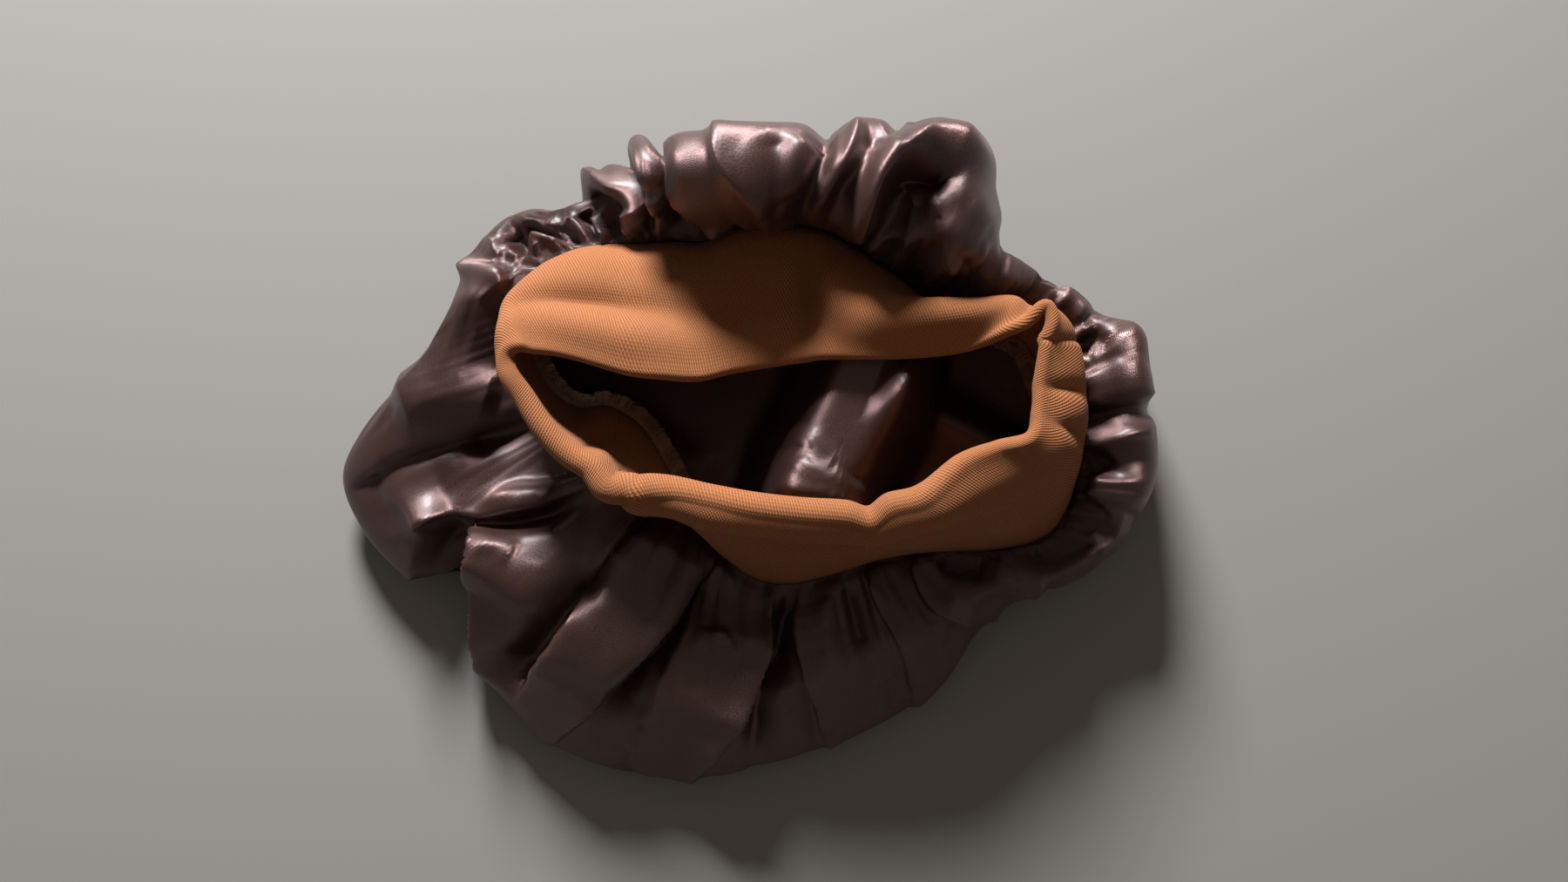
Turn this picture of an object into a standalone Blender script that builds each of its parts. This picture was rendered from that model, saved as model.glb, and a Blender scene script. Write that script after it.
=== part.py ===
"""A sleep bonnet lying on its crown with the mouth up: a satin bag gathered into a wide knit band.

Millimetres in the tables, metres in the meshes. X is the long way of the bonnet, Y the short way,
Z is up from the table top. Each row of the two section tables is one station round the mouth,
clockwise from the far left, and the same row number is the same station in both.
"""

import bpy
import numpy as np

MM = 0.001
MIDDLE_X = 1.2      # middle of the whole outline, which becomes the origin
MIDDLE_Y = -5.6

SATIN_WALL = 1.2    # satin with the air its weave traps
BAND_WALL = 3.2     # two layers of rib knit
RIM_SWELL = 1.35    # the fold at the rim is this much fatter than the two layers
SEAM_GAP = 0.4      # the join between satin, band and overlocked edge
ALLOWANCE = 6.5     # how far the overlocked edge stands into the mouth
ALLOWANCE_WALL = 2.0
ALLOWANCE_DROP = 0.65

STATIONS = 98       # round the mouth
UPPER_ROWS = 12     # seam to the widest edge of the bag
FLOOR_ROWS = 7      # widest edge to the middle of the crown
BAND_ROWS = 5       # seam to rim on one face
CROWN_MIDDLE = (44.0, 2.0)
BROW_IN = 0.30      # the bag stays full to here, this share in from its widest edge
BROW_UP = 0.68      # and is this high there, as a share of the way from edge to crest
FOOT_IN = 0.045     # the bag meets the table this share in from its widest edge,
FOOT_TUCK = 0.0028  # and this much more for each millimetre that the edge is up
FINEST_FOLD = 7.5   # narrower creases are drawn this wide, as fine as the mesh can carry
GATHERS = 23        # tucks where the satin is drawn up to the band
GATHER_HEIGHT = 2.6

# seam_x seam_y seam_z | belly_x belly_y belly_z | rim_x rim_y rim_z
BAND_SECTIONS = [
    (-79, 65, 46, -84, 51, 63, -78, 29, 72),       # far left
    (-71, 70, 47, -75, 53, 65, -70, 28, 73),
    (-62, 73, 48, -64, 53, 67, -61, 26, 74),
    (-51, 74, 49, -52, 52, 68, -51, 23, 75),
    (-40, 74, 50, -41, 50, 69, -40, 20, 75),
    (-29, 75, 50, -29, 49, 66, -28, 19, 73),
    (-16, 76, 50, -15, 49, 61, -15, 19, 68),
    (0, 79, 50, 0, 52, 56, -1, 23, 62),            # far middle
    (18, 81, 50, 17, 54, 55, 15, 26, 60),
    (33, 79, 50, 32, 54, 58, 30, 28, 63),
    (48, 72, 48, 46, 51, 67, 45, 28, 69),          # the soft roll starts
    (62, 63, 46, 60, 49, 70, 60, 28, 72),
    (76, 53, 42, 77, 49, 69, 76, 29, 72),
    (92, 46, 38, 92, 49, 67, 90, 31, 72),
    (107, 42, 34, 107, 48, 64, 103, 36, 73),
    (117, 36, 31, 118, 44, 60, 117, 45, 75),       # twisted corner
    (123, 24, 28, 125, 28, 55, 127, 32, 76),
    (129, 8, 28, 132, 12, 54, 131, 17, 77),        # right end
    (133, -8, 28, 134, -3, 54, 127, 3, 76),
    (133, -25, 28, 128, -15, 57, 113, -4, 75),
    (126, -39, 28, 115, -25, 59, 98, -9, 74),
    (109, -46, 28, 99, -33, 61, 85, -15, 74),
    (87, -47, 28, 81, -38, 62, 71, -27, 74),
    (68, -48, 28, 64, -42, 62, 58, -31, 74),
    (54, -51, 29, 51, -46, 58, 50, -39, 70),       # dent in the near rim
    (42, -55, 30, 41, -44, 61, 41, -31, 74),
    (22, -60, 30, 23, -44, 62, 24, -31, 74),       # near middle
    (6, -58, 30, 5, -41, 63, 6, -27, 74),
    (-8, -47, 30, -10, -38, 64, -10, -24, 73),
    (-18, -33, 29, -23, -36, 64, -23, -20, 72),
    (-26, -20, 28, -34, -33, 65, -34, -14, 73),    # pinch: the rim turns outwards
    (-34, -6, 27, -42, -18, 66, -44, -33, 71),
    (-43, 5, 25, -50, -9, 64, -54, -24, 70),
    (-55, 10, 25, -61, -1, 62, -64, -13, 70),
    (-67, 9, 25, -70, 5, 60, -73, -2, 70),
    (-78, 20, 26, -79, 17, 60, -82, 10, 70),
    (-86, 34, 31, -86, 29, 60, -87, 20, 71),
    (-89, 46, 37, -91, 39, 62, -87, 28, 71),       # near left
    (-87, 56, 42, -90, 47, 62, -83, 30, 72),
]

# crest_x crest_y crest_z | edge_x edge_y edge_z
CROWN_SECTIONS = [
    (-98, 68, 50, -112, 71, 20),
    (-90, 75, 53, -104, 83, 20),
    (-80, 80, 56, -94, 91, 20),
    (-66, 85, 58, -76, 97, 22),
    (-53, 90, 62, -63, 107, 28),
    (-40, 94, 72, -46, 113, 35),
    (-27, 97, 86, -31, 119, 44),
    (-8, 99, 96, -9, 122, 50),        # far lobes, the highest part of the satin
    (15, 100, 98, 17, 125, 52),
    (37, 99, 93, 44, 126, 50),
    (60, 97, 87, 73, 124, 46),
    (81, 90, 84, 95, 112, 44),
    (91, 76, 76, 104, 89, 40),
    (97, 63, 60, 105, 73, 30),
    (114, 56, 50, 124, 62, 22),
    (129, 49, 45, 140, 53, 19),
    (142, 37, 44, 155, 41, 19),
    (149, 16, 44, 164, 16, 19),
    (152, -6, 43, 166, -5, 19),
    (151, -27, 41, 162, -28, 18),
    (141, -43, 38, 152, -47, 17),
    (123, -54, 36, 133, -60, 16),
    (101, -59, 35, 113, -67, 15),
    (83, -66, 34, 98, -79, 14),
    (67, -76, 34, 83, -100, 13),
    (50, -84, 34, 60, -115, 12),
    (27, -90, 34, 31, -127, 12),
    (4, -92, 35, 2, -136, 12),
    (-18, -90, 37, -28, -138, 12),
    (-39, -82, 39, -58, -133, 12),
    (-60, -70, 40, -86, -118, 13),
    (-80, -54, 41, -106, -90, 14),
    (-94, -42, 42, -119, -63, 15),
    (-112, -32, 43, -138, -56, 15),
    (-126, -20, 43, -154, -40, 16),
    (-130, 0, 42, -164, -16, 17),
    (-126, 18, 42, -152, 7, 17),
    (-116, 35, 44, -133, 28, 18),
    (-105, 54, 48, -117, 53, 20),
]

# name | start x y | middle x y | end x y | height | spread left, spread right of the line
CROWN_FOLDS = [
    ("sewn seam", 38, 120, 36, 106, 26, 83, 3, 4, 3),
    ("seam red side", 32, 118, 30, 105, 22, 85, -3, 6, 4),
    ("ridge by the seam", 49, 119, 40, 101, 27, 83, 6, 5, 7),
    ("valley by the ridge", 56, 112, 46, 97, 36, 84, -9, 6, 6),
    ("crescent rim", 47, 85, 54, 103, 71, 108, 8, 8, 8),
    ("crescent rim end", 71, 108, 84, 108, 93, 99, 7, 7, 9),
    ("crescent hollow", 60, 81, 67, 93, 80, 98, -9, 9, 11),
    ("far right flap", 48, 121, 63, 118, 75, 112, 3, 6, 6),
    ("corner ridge", 95, 67, 82, 64, 74, 53, 6, 7, 8),
    ("corner valley", 58, 85, 66, 74, 69, 57, -6, 5, 5),
    ("far lobe streak", -10, 115, -3, 106, 4, 98, 4, 8, 10),
    ("far lobe fold", 2, 100, 12, 92, 14, 83, 5, 8, 5),
    ("far lobe pocket", 2, 94, 6, 89, 8, 84, -5, 5, 5),
    ("far lobe left edge", -23, 111, -25, 96, -17, 83, 6, 10, 4),
    ("dark pleat", -36, 108, -34, 95, -28, 80, -6, 6, 7),
    ("petal ridge", -58, 95, -44, 91, -41, 80, 6, 7, 6),
    ("petal hollow", -64, 94, -56, 90, -48, 80, -5, 6, 6),
    ("gather a", -85, 83, -74, 79, -63, 74, 4, 5, 5),
    ("gather b", -74, 89, -62, 84, -56, 76, 5, 5, 5),
    ("gather valley", -92, 84, -80, 77, -70, 72, -4, 5, 5),
    ("left hook", -98, 76, -95, 68, -86, 63, 5, 6, 5),
    ("left shoulder valley", -127, 28, -112, 30, -96, 38, -4, 8, 8),
    ("left lobe crest", -138, 4, -118, 10, -98, 16, 4, 14, 14),
    ("left lobe crease", -150, -19, -125, -7, -88, 4, -5, 7, 9),
    ("left fold crest", -128, -40, -120, -28, -98, -14, 7, 12, 10),
    ("left fold edge", -120, -30, -98, -26, -66, -22, 8, 14, 5),
    ("left pit", -128, -52, -108, -44, -72, -36, -10, 9, 11),
    ("near left ridge", -103, -84, -100, -64, -106, -36, 8, 6, 12),
    ("near left valley", -88, -102, -70, -70, -50, -42, -11, 11, 8),
    ("pleat left edge", -88, -106, -58, -66, -40, -40, 5, 5, 9),
    ("pleat right edge", -72, -118, -36, -80, -16, -50, 5, 9, 5),
    ("near pleat valley", -52, -104, -24, -70, -10, -52, -9, 6, 8),
    ("near middle ridge", -16, -128, 4, -94, 14, -63, 7, 10, 5),
    ("near middle valley", 6, -122, 17, -92, 20, -64, -8, 6, 6),
    ("near right ridge", 34, -114, 27, -88, 24, -66, 5, 5, 7),
    ("near right fold", 70, -92, 58, -74, 52, -54, 5, 7, 7),
    ("near right valley", 74, -84, 66, -68, 64, -54, -5, 6, 6),
    ("near right flap", 92, -70, 80, -67, 73, -54, 5, 7, 6),
    ("near right pit", 108, -58, 96, -54, 88, -51, -6, 7, 7),
    ("right lobe line", 124, -50, 116, -47, 112, -44, 3, 6, 6),
    ("right spur", 160, 6, 146, -3, 134, -12, 6, 6, 7),
    ("right spur shade", 156, -10, 146, -13, 140, -22, -4, 6, 6),
    ("right scallop b", 148, 44, 140, 42, 133, 35, 5, 6, 5),
    ("right pocket b", 150, 34, 144, 33, 137, 29, -5, 6, 6),
    ("right scallop a", 127, 56, 122, 54, 117, 50, 4, 5, 5),
]

# folds in the crown where it lies under the mouth, same columns
FLOOR_FOLDS = [
    ("hump cliff", 36, 58, 25, 8, 8, -46, 54, 20, 8),
    ("hump back", 34, 28, 72, 13, 112, -10, 22, 14, 12),
    ("left wrinkle", -70, 20, -40, -4, -6, -16, 5, 10, 10),
]

# name | along the band (row number) | share of the way up | height | spread in rows, in share
BAND_DENTS = [
    ("far hollow", 6.6, 0.45, -3.0, 1.6, 0.35),
    ("far swell", 4.2, 0.55, 3.0, 1.8, 0.30),
    ("roll end", 10.6, 0.70, 3.0, 0.5, 0.25),
    ("right ripple", 14.2, 0.55, -3.5, 0.6, 0.30),
    ("near crease", 26.0, 0.50, -2.0, 4.5, 0.12),
]


def closed_curve(rows, at):
    """Smooth closed curve through the rows, read at row numbers that may lie between them."""
    rows = np.asarray(rows, float)
    count = len(rows)
    first = np.floor(at).astype(int)
    t = (at - first)[:, None]
    before, here, after, beyond = (rows[(first + step) % count] for step in (-1, 0, 1, 2))
    bend = 2 * before - 5 * here + 4 * after - beyond
    turn = 3 * here - before - 3 * after + beyond
    return here + 0.5 * t * (after - before + t * (bend + t * turn))


def even_stations(count):
    """Row numbers spaced so that the stations stand evenly along seam and outer edge together."""
    fine = np.linspace(0, len(BAND_SECTIONS), 1440, endpoint=False)
    seam = closed_curve(np.array(BAND_SECTIONS)[:, 0:3], fine)
    rim = closed_curve(np.array(BAND_SECTIONS)[:, 6:9], fine)
    edge = closed_curve(np.array(CROWN_SECTIONS)[:, 3:6], fine)
    step = sum(np.linalg.norm(np.roll(curve, -1, 0) - curve, axis=1) for curve in (seam, rim, edge))
    run = np.concatenate([[0.0], np.cumsum(step)])
    wanted = np.linspace(0, run[-1], count, endpoint=False)
    return np.interp(wanted, run, np.linspace(0, len(BAND_SECTIONS), 1441))


def through(points, share):
    """Smooth open curve through points (a list of arrays, one per knot), at shares 0 to 1."""
    knots = [2 * points[0] - points[1]] + list(points) + [2 * points[-1] - points[-2]]
    place = min(share * (len(points) - 1), len(points) - 1 - 1e-9)
    first = int(place)
    t = place - first
    before, here, after, beyond = knots[first:first + 4]
    bend = 2 * before - 5 * here + 4 * after - beyond
    turn = 3 * here - before - 3 * after + beyond
    return here + 0.5 * t * (after - before + t * (bend + t * turn))


def fold_height(x, y, folds):
    """Height that the fold lines add at each plan position."""
    total = np.zeros_like(x)
    for _name, x0, y0, x1, y1, x2, y2, height, left, right in folds:
        nearest = np.full_like(x, 1e9)
        side = np.zeros_like(x)
        along = np.zeros_like(x)
        for step in range(12):
            t0, t1 = step / 12, (step + 1) / 12
            ax, bx = (through([np.array(x0), np.array(x1), np.array(x2)], t) for t in (t0, t1))
            ay, by = (through([np.array(y0), np.array(y1), np.array(y2)], t) for t in (t0, t1))
            dx, dy = bx - ax, by - ay
            share = np.clip(((x - ax) * dx + (y - ay) * dy) / (dx * dx + dy * dy), 0, 1)
            away_x, away_y = x - ax - share * dx, y - ay - share * dy
            gap = np.hypot(away_x, away_y)
            closer = gap < nearest
            nearest = np.where(closer, gap, nearest)
            side = np.where(closer, dx * away_y - dy * away_x, side)
            along = np.where(closer, t0 + share * (t1 - t0), along)
        spread = np.where(side > 0, max(left, FINEST_FOLD), max(right, FINEST_FOLD))
        taper = np.clip(np.sin(np.pi * along), 0.35, 1)
        total += height * min(1.0, (left + right) / (2 * FINEST_FOLD)) * taper * np.exp(-(nearest / spread) ** 2)
    return total


def normals(grid):
    """Unit normals of a grid that is closed along its second axis."""
    down = np.gradient(grid, axis=0)
    across = np.roll(grid, -1, 1) - np.roll(grid, 1, 1)
    normal = np.cross(across, down)
    return normal / np.maximum(np.linalg.norm(normal, axis=2, keepdims=True), 1e-9)


def inward(seam):
    """Unit plan direction from each seam station into the mouth."""
    along = np.roll(seam, -1, 0) - np.roll(seam, 1, 0)
    into = np.stack([along[:, 1], -along[:, 0], np.zeros(len(seam))], 1)
    return into / np.linalg.norm(into, axis=1, keepdims=True)


def make_object(name, points, faces, colour, roughness):
    mesh = bpy.data.meshes.new(name)
    mesh.from_pydata([tuple(point) for point in points], [], faces)
    material = bpy.data.materials.new(name + "_cloth")
    material.use_nodes = True
    shader = material.node_tree.nodes["Principled BSDF"]
    shader.inputs["Base Color"].default_value = colour
    shader.inputs["Roughness"].default_value = roughness
    mesh.materials.append(material)
    made = bpy.data.objects.new(name, mesh)
    bpy.context.scene.collection.objects.link(made)
    return made


def ring_faces(first, second, count):
    """Triangles between two closed rings that start at these vertex numbers."""
    faces = []
    for i in range(count):
        j = (i + 1) % count
        faces.append((first + i, second + i, second + j))
        faces.append((first + i, second + j, first + j))
    return faces


def placed(points):
    return (np.asarray(points) - np.array([MIDDLE_X, MIDDLE_Y, 0.0])) * MM


def gathers(at, rows):
    """Small tucks that leave the seam and die out across the bag, one row of heights per mesh row."""
    turn = 2 * np.pi * at / len(BAND_SECTIONS)
    wave = np.sin(GATHERS * turn + 1.2 * np.sin(3 * turn) + 0.8 * np.sin(7 * turn + 1))
    down = np.arange(rows)[:, None] / UPPER_ROWS
    return GATHER_HEIGHT * wave[None, :] * (1 - np.exp(-down / 0.06)) * np.exp(-down / 0.28)


def build_crown(at):
    """The bag: up from the seam, over the crest, round the widest edge and in along the table."""
    seam = closed_curve(np.array(BAND_SECTIONS)[:, 0:3], at)
    crest = closed_curve(np.array(CROWN_SECTIONS)[:, 0:3], at)
    edge = closed_curve(np.array(CROWN_SECTIONS)[:, 3:6], at)
    start = seam - inward(seam) * 0.8 + np.array([0, 0, -SEAM_GAP])
    middle = np.array([CROWN_MIDDLE[0], CROWN_MIDDLE[1], 0.0])
    brow = edge + (crest - edge) * np.array([BROW_IN, BROW_IN, BROW_UP])
    foot = edge + (middle - edge) * (FOOT_IN + FOOT_TUCK * edge[:, 2:3])
    foot[:, 2] = 0.0
    rib = [start, crest, brow, edge, foot]
    rows = [through(rib, 0.75 * row / UPPER_ROWS) for row in range(UPPER_ROWS + 1)]
    rows += [through(rib, 0.87)]
    rows += [foot + (middle - foot) * (row / FLOOR_ROWS) ** 0.8 for row in range(FLOOR_ROWS)]
    grid = np.array(rows)
    down = np.arange(len(rows))[:, None] / UPPER_ROWS
    fade = np.clip(down * 4, 0, 1) * np.clip((1.12 - down) * 3, 0, 1)
    lift = fold_height(grid[:, :, 0], grid[:, :, 1], CROWN_FOLDS) * fade + gathers(at, len(rows))
    grid = grid + normals(grid) * lift[:, :, None]
    inner = np.clip((down * UPPER_ROWS - UPPER_ROWS - 1) / 1.5, 0, 1)
    grid[:, :, 2] += fold_height(grid[:, :, 0], grid[:, :, 1], FLOOR_FOLDS) * inner
    grid[:, :, 2] = np.maximum(grid[:, :, 2], 0.0)
    middle[2] = fold_height(middle[0:1], middle[1:2], FLOOR_FOLDS)[0]
    inner_grid = grid - normals(grid) * SATIN_WALL
    count, depth = grid.shape[1], grid.shape[0]
    points = np.concatenate([grid.reshape(-1, 3), inner_grid.reshape(-1, 3),
                             [middle, middle + np.array([0, 0, SATIN_WALL])]])
    faces = []
    skin = count * depth
    for row in range(depth - 1):
        faces += ring_faces((row + 1) * count, row * count, count)
        faces += ring_faces(skin + row * count, skin + (row + 1) * count, count)
    for i in range(count):
        j = (i + 1) % count
        last = (depth - 1) * count
        faces.append((last + j, 2 * skin, last + i))
        faces.append((skin + last + i, 2 * skin + 1, skin + last + j))
    faces += ring_faces(0, skin, count)
    return make_object("satin_crown", placed(points), faces, (0.075, 0.035, 0.032, 1), 0.35)


def build_band(at):
    """The folded knit strip, from just above the seam to the rounded fold of the rim."""
    table = np.array(BAND_SECTIONS)
    seam, belly, rim = (closed_curve(table[:, first:first + 3], at) for first in (0, 3, 6))
    count = len(BAND_SECTIONS)
    rows = []
    for row in range(BAND_ROWS + 1):
        share = row / BAND_ROWS
        rows.append(through([seam, belly, rim], 0.04 + 0.96 * share))
    spine = np.array(rows)
    side = -normals(spine)
    for _name, place, up, height, spread, tall in BAND_DENTS:
        away = (at - place + count / 2) % count - count / 2
        swell = np.exp(-(away / spread) ** 2)[None, :]
        share = np.linspace(0, 1, BAND_ROWS + 1)[:, None]
        spine = spine + side * (height * swell * np.exp(-((share - up) / tall) ** 2))[:, :, None]
    side = -normals(spine)
    up = np.gradient(spine, axis=0)
    up = up / np.linalg.norm(up, axis=2, keepdims=True)
    half = BAND_WALL / 2
    swell = half * RIM_SWELL
    ring = [spine[0] + side[0] * half * 0.6 - up[0] * half * 0.4]
    ring += [spine[row] + side[row] * half for row in range(1, BAND_ROWS)]
    ring += [spine[-1] + side[-1] * swell - up[-1] * swell * 0.6]
    ring += [spine[-1] + side[-1] * swell * 0.6 + up[-1] * swell * 0.1]
    ring += [spine[-1] - side[-1] * swell * 0.6 + up[-1] * swell * 0.1]
    ring += [spine[-1] - side[-1] * swell - up[-1] * swell * 0.6]
    ring += [spine[row] - side[row] * half for row in range(BAND_ROWS - 1, 0, -1)]
    ring += [spine[0] - side[0] * half * 0.6 - up[0] * half * 0.4]
    loops = len(ring)
    faces = []
    for loop in range(loops):
        faces += ring_faces(loop * len(at), (loop + 1) % loops * len(at), len(at))
    return make_object("knit_band", placed(np.concatenate(ring)), faces, (0.46, 0.20, 0.09, 1), 0.9)


def build_allowance(at):
    """The overlocked raw edges, a soft flat cord of cloth that points into the mouth and down."""
    seam = closed_curve(np.array(BAND_SECTIONS)[:, 0:3], at)
    into = inward(seam)
    lean = into + np.array([0, 0, -ALLOWANCE_DROP])
    lean = lean / np.linalg.norm(lean, axis=1, keepdims=True)
    thick = np.cross(lean, np.cross(into, [0, 0, 1.0]))
    thick = thick / np.linalg.norm(thick, axis=1, keepdims=True) * ALLOWANCE_WALL / 2
    root = seam + into * (BAND_WALL / 2) + np.array([0, 0, -1.9])
    tip = root + lean * ALLOWANCE
    ring = [root + thick * 0.7, tip + thick, tip - thick, root - thick * 0.7]
    faces = []
    for loop in range(4):
        faces += ring_faces((loop + 1) % 4 * len(at), loop * len(at), len(at))
    return make_object("overlock_seam", placed(np.concatenate(ring)), faces, (0.10, 0.05, 0.03, 1), 0.95)


for old in list(bpy.data.objects):
    bpy.data.objects.remove(old, do_unlink=True)

places = even_stations(STATIONS)
build_crown(places)
build_band(places)
build_allowance(places)
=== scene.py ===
# %% [markdown]
# # A satin sleep bonnet
# A sleep bonnet is a round bag of satin, drawn up all round into a wide band of rib knit. Here it lies
# on its crown with the mouth up. The imported model already has the right size and the main shapes, as
# three plain solids. This lesson gives each of them its real surface: folds, gathers, knit and thread.
# The frame is loaded first, and its box is kept.

# %% Load the frame
import math
import bpy
import numpy as np
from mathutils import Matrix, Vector


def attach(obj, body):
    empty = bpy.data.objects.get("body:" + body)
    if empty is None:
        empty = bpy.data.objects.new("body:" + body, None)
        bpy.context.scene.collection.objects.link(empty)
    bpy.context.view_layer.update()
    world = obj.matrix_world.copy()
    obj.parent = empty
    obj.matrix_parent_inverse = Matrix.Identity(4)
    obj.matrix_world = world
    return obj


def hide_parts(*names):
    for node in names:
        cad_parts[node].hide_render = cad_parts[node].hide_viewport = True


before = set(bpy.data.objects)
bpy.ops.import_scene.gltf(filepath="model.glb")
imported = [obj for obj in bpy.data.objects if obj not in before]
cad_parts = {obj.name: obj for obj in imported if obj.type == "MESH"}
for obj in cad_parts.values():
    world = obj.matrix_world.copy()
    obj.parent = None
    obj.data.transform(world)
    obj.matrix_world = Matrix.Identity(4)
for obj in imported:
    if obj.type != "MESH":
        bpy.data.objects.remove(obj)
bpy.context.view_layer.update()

# %% [markdown]
# ## The camera
# The bonnet was looked at from nearly straight above, 85 degrees over the table. A 35 mm lens from
# 0.65 m gives the same slight perspective: the high band looks a little larger than the foot of the
# bag. All tables below are in millimetres from a mark on the table, and `placed` moves them to the
# frame.

# %% Camera
MIDDLE = np.array([1.2, -5.6, 0.0])
LOOK_AT = np.array([17.8, 0.0, 0.0])
EYE = np.array([17.8, -56.4, 645.0])
LENS = 35.0
MM = 0.001
scene = bpy.context.scene


def placed(points):
    """Table millimetres to metres in the frame."""
    return (np.asarray(points, float) - MIDDLE) * MM


def linked(name, data):
    """A new object with this data, put into the scene."""
    made = bpy.data.objects.new(name, data)
    scene.collection.objects.link(made)
    return made


camera = linked("camera", bpy.data.cameras.new("camera"))
camera.data.lens = LENS
camera.location = placed(EYE)
camera.rotation_euler = Vector(placed(LOOK_AT) - placed(EYE)).to_track_quat("-Z", "Y").to_euler()
camera.data.clip_start = 0.01
scene.camera = camera
print("camera height, mm:", EYE[2])

# %% [markdown]
# ## The light and the floor
# Satin only looks like satin where one soft light grazes it: folds facing the light shine, and the rest
# stays deep brown. The window light came from the far side, about 28 degrees over the table, so one
# soft lamp stands there, and a dim warm world, like a room, fills the shadows. The floor is plain and
# pale.

# %% Light, fill and floor
TO_LIGHT = Vector((-0.15, 0.85, 0.46)).normalized()
LAMP_AWAY, LAMP_WIDTH, LAMP_POWER = 1.5, 0.44, 70.0
LAMP_COLOUR = (1.0, 0.985, 0.98)
ROOM = {"Color": (1.0, 0.87, 0.74, 1), "Strength": 0.18}
FLOOR_FINISH = {"Base Color": (0.215, 0.212, 0.204, 1), "Roughness": 0.9}
FLOOR_WIDTH = 6.0


def dial(node, values):
    """Sets a node's inputs by their names."""
    for socket, value in values.items():
        node.inputs[socket].default_value = value


lamp = linked("window_light", bpy.data.lights.new("window_light", "AREA"))
lamp.data.shape = "DISK"
lamp.data.size = LAMP_WIDTH
lamp.data.energy = LAMP_POWER
lamp.data.color = LAMP_COLOUR
lamp.location = TO_LIGHT * LAMP_AWAY
lamp.rotation_euler = (-TO_LIGHT).to_track_quat("-Z", "Y").to_euler()

world = bpy.data.worlds.new("studio")
scene.world = world
world.use_nodes = True
dial(world.node_tree.nodes["Background"], ROOM)
scene.view_settings.view_transform = "Standard"

bpy.ops.mesh.primitive_plane_add(size=FLOOR_WIDTH, location=(0, 0, 0))
floor = bpy.context.object
floor.name = "floor"
floor_paint = bpy.data.materials.new("floor_paint")
floor_paint.use_nodes = True
dial(floor_paint.node_tree.nodes["Principled BSDF"], FLOOR_FINISH)
floor.data.materials.append(floor_paint)
print("lamp height, m:", round(lamp.location.z, 3))

# %% [markdown]
# ## The tables that both cloths share
# A bonnet has one line that matters most: the seam where band and bag are sewn together. Every row
# below is one station on that line, clockwise from the far left. The band goes up from it over a belly
# to the folded rim, and the bag goes up from it over a crest and down to its widest edge. A smooth
# closed curve through each column gives the whole cloth, so one number moves one part of the bonnet.

# %% Sections of the band
# seam_x seam_y seam_z | belly_x belly_y belly_z | rim_x rim_y rim_z
BAND_SECTIONS = np.array([
    (-79, 65, 46, -84, 51, 63, -78, 29, 72),  # far left
    (-71, 70, 47, -75, 53, 65, -70, 28, 73),
    (-62, 73, 48, -64, 53, 67, -61, 26, 74),
    (-51, 74, 49, -52, 52, 68, -51, 23, 75),
    (-40, 74, 50, -41, 50, 69, -40, 20, 75),
    (-29, 75, 50, -29, 49, 66, -28, 19, 73),
    (-13, 75, 50, -14, 49, 61, -15, 19, 68),
    (2, 81, 50, 0, 52, 56, -1, 23, 62),  # far middle
    (18, 81, 50, 17, 54, 55, 15, 26, 60),
    (33, 79, 50, 32, 54, 58, 30, 28, 63),
    (48, 72, 48, 46, 47, 69, 45, 28, 65),  # the soft roll starts
    (62, 63, 46, 60, 44, 72, 60, 28, 66),
    (76, 53, 42, 77, 44, 72, 76, 29, 66),
    (92, 46, 38, 92, 45, 70, 90, 31, 68),
    (107, 42, 34, 107, 48, 64, 103, 36, 73),
    (117, 36, 31, 118, 44, 60, 117, 45, 75),  # twisted corner
    (123, 24, 28, 130, 32, 61, 117, 32, 74),
    (129, 8, 28, 133, 16, 61, 115, 17, 72),  # right end
    (133, -8, 28, 133, 1, 60, 114, 5, 72),
    (133, -25, 28, 128, -14, 59, 111, -5, 74),
    (126, -39, 28, 115, -25, 59, 98, -9, 74),
    (109, -46, 28, 99, -33, 61, 85, -15, 74),
    (87, -47, 28, 81, -38, 62, 71, -27, 74),
    (68, -48, 28, 64, -42, 62, 58, -31, 74),
    (54, -51, 29, 51, -44, 60, 50, -36, 72),  # dent in the near rim
    (42, -55, 30, 41, -44, 61, 41, -34, 74),
    (22, -60, 30, 23, -44, 62, 24, -33, 74),  # near middle
    (6, -58, 30, 5, -42, 63, 6, -31, 74),
    (-8, -47, 30, -10, -40, 64, -10, -28, 73),
    (-18, -33, 29, -22, -34, 64, -24, -25, 73),
    (-26, -20, 28, -35, -29, 59, -38, -24, 73),  # pinch in the rim
    (-34, -6, 27, -42, -18, 54, -48, -24, 72),
    (-42, 5, 25, -52, -9, 48, -56, -16, 71),
    (-54, 12, 25, -62, -2, 46, -66, -9, 70),
    (-66, 11, 26, -72, 4, 46, -74, 0, 70),
    (-78, 19, 27, -80, 14, 48, -81, 11, 70),
    (-86, 34, 31, -87, 26, 56, -87, 20, 71),
    (-89, 46, 37, -91, 39, 62, -87, 28, 71),  # near left
    (-87, 56, 42, -90, 47, 62, -83, 30, 72),
], float)
SEAM, BELLY, RIM = slice(0, 3), slice(3, 6), slice(6, 9)
print("stations in the table:", len(BAND_SECTIONS))

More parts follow.
